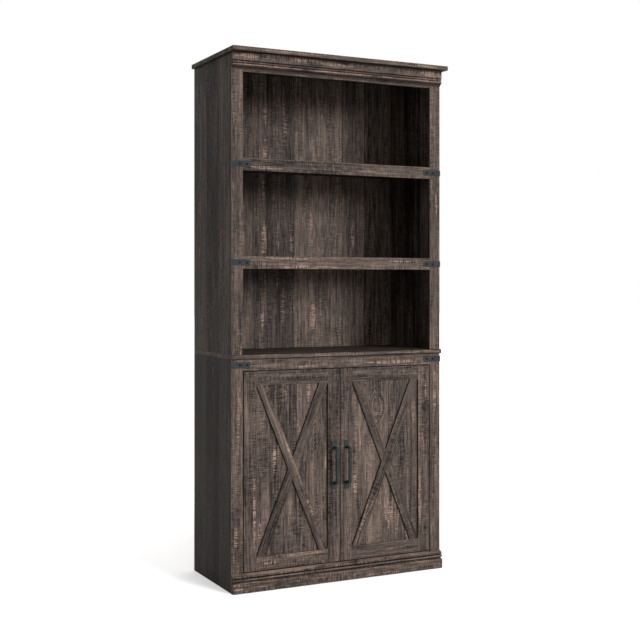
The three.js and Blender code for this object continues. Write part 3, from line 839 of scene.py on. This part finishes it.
# Cabinet bottom: notched round the stiles, so its plan comes from the pieces about it.
def cabinetBottom():
    low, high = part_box("bottom_panel")
    stileLow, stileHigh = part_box("lower_stile_right")
    notchX, notchY = stileLow.x, stileHigh.y
    corners = [(-notchX, low.y), (notchX, low.y), (notchX, notchY), (high.x, notchY),
               (high.x, high.y), (low.x, high.y), (low.x, notchY), (-notchX, notchY)]
    surface = easedPrism(corners, "z", low.z, high.z, panels["bottomEase"])
    woodPiece("bottom_panel", surface, "x", shelfOakShaded, "side_wood")


cabinetBottom()


# A copy of a bored CAD panel with its doubles merged and its edges eased by a bevel.
def boredPanel(node, axis, material, slot, planked=False):
    piece = bpy.data.objects.new(node + "_oak", frame["nodes"][node].data.copy())
    piece.data.materials.clear()
    bpy.context.scene.collection.objects.link(piece)
    bpy.context.view_layer.objects.active = piece
    weld = piece.modifiers.new("weld", "WELD")
    weld.merge_threshold = 0.01 * mm
    with bpy.context.temp_override(object=piece, active_object=piece, selected_objects=[piece]):
        bpy.ops.object.modifier_apply(modifier="weld")
    mesh = piece.data
    mesh.shade_flat()
    points = np.zeros(len(mesh.vertices) * 3)
    mesh.vertices.foreach_get("co", points)
    points = points.reshape(-1, 3)
    normals = np.zeros(len(mesh.loops) * 3)
    mesh.corner_normals.foreach_get("vector", normals)
    # painted shade on the sideways faces
    sideways = paintedEdgeShade(node) * (np.abs(normals.reshape(-1, 3)[:, 1]) < 0.5)
    storeGrain(piece, grainCoordinates(points, axis, 0.0, planked), np.zeros(len(points)), sideways, "CORNER")
    bevel = piece.modifiers.new("easedEdges", "BEVEL")
    bevel.width = panels["boredEase"]
    bevel.segments = 2
    bevel.limit_method = "ANGLE"
    bevel.angle_limit = math.radians(50)
    return finishPiece(piece, material, slot, bodyOf(node), node)


boredPanel("lower_side_left", "z", cabinetSideOakShaded, "side_wood", planked=True)
boredPanel("lower_side_right", "z", cabinetSideOakShaded, "side_wood", planked=True)
print("carcass made")


doors = {"ease": 0.8 * mm, "braceWidth": 30 * mm}


# A diagonal strip, from the corners of its CAD node's outline in the plane of x and z.
def brace(node, lean):
    mesh = frame["nodes"][node].data
    points = np.zeros(len(mesh.vertices) * 3)
    mesh.vertices.foreach_get("co", points)
    points = np.unique(points.reshape(-1, 3).round(6), axis=0)
    front = points[points[:, 1] < points[:, 1].mean()][:, [2, 0]]
    middle = front.mean(0)
    around = np.argsort(np.arctan2(*(front - middle).T))
    low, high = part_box(node)
    surface = easedPrism(front[around], "y", low.y, high.y, doors["ease"])
    woodPiece(node, surface, "z", frontOak, "front_wood", lean)


def door(side):
    for part in ("door_hinge_stile", "door_meeting_stile"):
        board(f"{part}_{side}", "z", frontOak)
    for part in ("door_top_rail", "door_bottom_rail"):
        board(f"{part}_{side}", "x", railOak)
    boredPanel(f"door_panel_{side}", "z", doorOak, "front_wood", planked=True)
    low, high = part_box(f"door_brace_{side}")
    slope = math.atan2(high.x - low.x - doors["braceWidth"], high.z - low.z)
    lean = -slope if side == "left" else slope
    brace(f"door_brace_{side}", lean)
    brace(f"door_brace_upper_half_{side}", -lean)
    brace(f"door_brace_lower_half_{side}", -lean)


for side in ("left", "right"):
    door(side)
print("doors made")


pull = {
    "padLength": 28 * mm, "padThickness": 3 * mm, "padWidth": 20 * mm,
    "padRound": 3.5 * mm, "padEase": 1.2 * mm,
    "barWidth": 11 * mm, "barThickness": 8 * mm, "barRound": 2.2 * mm,
    "bend": 12 * mm, "sink": 1 * mm,  # how far the bar's ends go into the pads
}


# Pull: a bar carried out of one pad, round a bend, along the door, round a bend and into the other pad.
def pullHandle(side):
    node = f"handle_{side}"
    low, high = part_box(node)
    middle = (low + high) / 2
    half, p = (high.z - low.z) / 2, pull
    bend = p["bend"] - p["barThickness"] / 2
    legZ = half - p["padLength"] + p["barThickness"] / 2
    barY = low.y + p["barThickness"] / 2
    foot = high.y - p["padThickness"] + p["sink"]
    path = [(foot, legZ), *arcPoints(barY + bend, legZ - bend, bend, 90, 180, 12),
            *arcPoints(barY + bend, bend - legZ, bend, 180, 270, 12), (foot, -legZ)]
    path = np.array(path) + [0, middle.z]
    w, t = p["barWidth"] / 2, p["barThickness"] / 2
    section = {"corners": [(-w, -t), (w, -t), (w, t), (-w, t)], "radius": p["barRound"], "steps": 4}
    bar = carried(path, section, middle.x)
    pads = []
    for end in (-1, 1):
        z0, z1 = sorted((middle.z + end * half, middle.z + end * (half - p["padLength"])))
        x0, x1 = middle.x - p["padWidth"] / 2, middle.x + p["padWidth"] / 2
        corners = [(z0, x0), (z1, x0), (z1, x1), (z0, x1)]
        padFront = high.y - p["padThickness"]
        pads.append(easedPrism(corners, "y", padFront, high.y, p["padRound"], p["padEase"], 4))
    names = [f"pull_bar_{side}", f"pull_pad_bottom_{side}", f"pull_pad_top_{side}"]
    for name, surface in zip(names, [bar, *pads]):
        finishPiece(makeMesh(name, surface), blackIron, "black_iron", f"door_{side}", node)


strap = {"ease": 0.45 * mm, "thickness": 1.5 * mm, "screws": (30 * mm, 55.5 * mm)}
screw = {
    "radius": 4.1 * mm, "height": 1.1 * mm, "recess": 1.3 * mm,
    "recessRim": 0.93, "recessFloor": 0.35,  # shares of the height
}


# Low domed screw head along one axis, with a dimple in the middle. It rises up the axis where flip is 1 and
# down it where flip is -1.
def screwHead(name, x, y, z, body, material, slot, axis="y", flip=-1):
    r, h, d = screw["radius"], screw["height"] * flip, screw["recess"]
    t = np.linspace(0, 1, 7)
    dome = [(r * math.cos(a), h * math.sin(a)) for a in t * math.pi / 2 if math.cos(a) > d / r]
    profile = [(0, 0), (r, 0), *dome[1:], (d, screw["recessRim"] * h), (0, screw["recessFloor"] * h)]
    if flip < 0:
        profile = profile[::-1]
    finishPiece(makeMesh(name, turned(profile, axis, (x, y, z), steps=28)), material, slot, body)


def cornerStrap(rail, side):
    node = f"strap_{rail}_{side}"
    low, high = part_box(node)
    sign = -1 if side == "left" else 1
    outer, inner = (low.x, high.x) if sign < 0 else (high.x, low.x)
    t = strap["thickness"]
    corners = [(inner, low.y + t), (inner, low.y), (outer, low.y), (outer, high.y),
               (outer - sign * t, high.y), (outer - sign * t, low.y + t)]
    surface = easedPrism(corners, "z", low.z, high.z, strap["ease"])
    finishPiece(makeMesh(node + "_iron", surface), blackIron, "black_iron", "carcass", node)
    for number, along in enumerate(strap["screws"], 1):
        x = outer - sign * (along + t)
        z = (low.z + high.z) / 2
        screwHead(f"{node}_screw_{number}", x, low.y, z, "carcass", darkScrew, "black_iron")


for side in ("left", "right"):
    pullHandle(side)
    for rail in ("shelf_1", "shelf_2", "door_rail"):
        cornerStrap(rail, side)

hinge = {
    "neck": 17.2 * mm, "flange": 1.2 * mm, "wall": 1 * mm, "cupEase": 0.35 * mm, "cupFloor": 3 * mm,
    "armThickness": 4 * mm, "shank": 6.5 * mm, "plate": 2 * mm, "armRound": 0.7 * mm, "armEase": 0.42 * mm,
    "screws": (0.28, 0.8),  # shares of the plate's length
    "pinEase": 0.6 * mm,
}


# Hinge cup: an open cup with a flange, turned about y, its mouth towards the cabinet.
def hingeCup(node, body):
    low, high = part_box(node)
    middle = (low + high) / 2
    rim, depth, e = (high.x - low.x) / 2, high.y - low.y, hinge["cupEase"]
    neck, floor = hinge["neck"], hinge["cupFloor"]
    under, inner = depth - hinge["flange"], neck - hinge["wall"]
    profile = [
        (0, 0), *arcPoints(neck - e, e, e, -90, 0, 3), (neck, under),
        *arcPoints(rim - e, under + e, e, -90, 0, 3), *arcPoints(rim - e, depth - e, e, 0, 90, 3),
        *arcPoints(inner + e, depth - e, e, 90, 180, 3),
        *arcPoints(inner - floor, hinge["wall"] + floor, floor, 0, -90, 6), (0, hinge["wall"]),
    ]
    surface = turned(profile, "y", (middle.x, low.y, middle.z), steps=64)
    finishPiece(makeMesh(node + "_steel", surface), zinc, "hinge_steel", body, node)


# Hinge arm: a plate on the post, a shank and the arm that reaches over the cup, as a plan run upwards.
def hingeArm(node, side):
    low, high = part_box(node)
    post, tip = (high.x, low.x) if side > 0 else (low.x, high.x)
    face = post - side * hinge["plate"]
    root = face - side * hinge["armThickness"]
    armRear = low.y + hinge["armThickness"]
    shankRear = armRear + hinge["shank"]
    corners = [(post, low.y), (tip, low.y), (tip, armRear), (root, armRear),
               (root, shankRear), (face, shankRear), (face, high.y), (post, high.y)]
    surface = easedPrism(corners, "z", low.z, high.z, hinge["armRound"], hinge["armEase"])
    finishPiece(makeMesh(node + "_steel", surface), zinc, "hinge_steel", "carcass", node)
    for number, share in enumerate(hinge["screws"], 1):
        y = shankRear + share * (high.y - shankRear)
        z = (low.z + high.z) / 2
        screwHead(f"{node}_screw_{number}", face, y, z, "carcass", zinc, "hinge_steel", "x", -side)


# Shelf pin: a plain rod along x with eased ends.
def shelfPin(node):
    low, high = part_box(node)
    middle = (low + high) / 2
    radius, length, e = (high.z - low.z) / 2, high.x - low.x, hinge["pinEase"]
    profile = [
        (0, 0), *arcPoints(radius - e, e, e, -90, 0, 4),
        *arcPoints(radius - e, length - e, e, 0, 90, 4), (0, length),
    ]
    surface = turned(profile, "x", (low.x, middle.y, middle.z), steps=32)
    finishPiece(makeMesh(node + "_steel", surface), zinc, "hinge_steel", "carcass", node)


for side, word in ((-1, "left"), (1, "right")):
    for end in ("top", "bottom"):
        hingeCup(f"hinge_cup_{end}_{word}", f"door_{word}")
        hingeArm(f"hinge_arm_{end}_{word}", side)
    for row in ("front", "rear"):
        shelfPin(f"shelf_pin_{row}_{word}")
print("iron and steel made")


studio = {
    "floorSize": 60.0,
    "floor": (0.80, 0.80, 0.80, 1.0),
    # strength, softness in degrees, then where the light stands: degrees right of the front, degrees up
    "key": (5.7, 22.0, 22.0, 14.0),
    "fill": (1.7, 70.0, -38.0, 4.0),
    "top": (1.0, 60.0, 0.0, 90.0),
}
view = {
    "place": (-1.8358, -3.6582, 1.0216),
    "turn": -26.64,  # degrees, to the right where it is below zero
    "lens": 64.48,
    "shiftY": -0.0568,
}


def studioFloor():
    h = studio["floorSize"] / 2
    points = np.array([(-h, -h, 0), (h, -h, 0), (h, h, 0), (-h, h, 0)])
    floor = makeMesh("studio_floor", {"points": points, "faces": [[0, 1, 2, 3]]})
    g = Graph("floor_white")
    g.shader.inputs["Base Color"].default_value = studio["floor"]
    g.shader.inputs["Roughness"].default_value = 0.9
    g.shader.inputs["Specular IOR Level"].default_value = 0.1
    floor.data.materials.append(g.material)


def studioWorld():
    world = bpy.data.worlds.new("studio")
    world.use_nodes = True
    world.node_tree.nodes["Background"].inputs["Color"].default_value = (1.0, 1.0, 1.0, 1.0)
    bpy.context.scene.world = world


def studioLight(name):
    strength, softness, azimuth, elevation = studio[name]
    lamp = bpy.data.lights.new(name, "SUN")
    lamp.energy = strength
    lamp.angle = math.radians(softness)
    light = bpy.data.objects.new(name, lamp)
    bpy.context.scene.collection.objects.link(light)
    light.rotation_euler = (math.radians(90 - elevation), 0, math.radians(azimuth))


def studioCamera():
    camera = bpy.data.objects.new("camera", bpy.data.cameras.new("camera"))
    bpy.context.scene.collection.objects.link(camera)
    camera.location = view["place"]
    camera.rotation_euler = (math.pi / 2, 0, math.radians(view["turn"]))
    camera.data.lens = view["lens"]
    camera.data.shift_y = view["shiftY"]
    bpy.context.scene.camera = camera


studioFloor()
studioWorld()
for name in ("key", "fill", "top"):
    studioLight(name)
studioCamera()
bpy.context.scene.view_settings.view_transform = "Standard"
print("studio set")
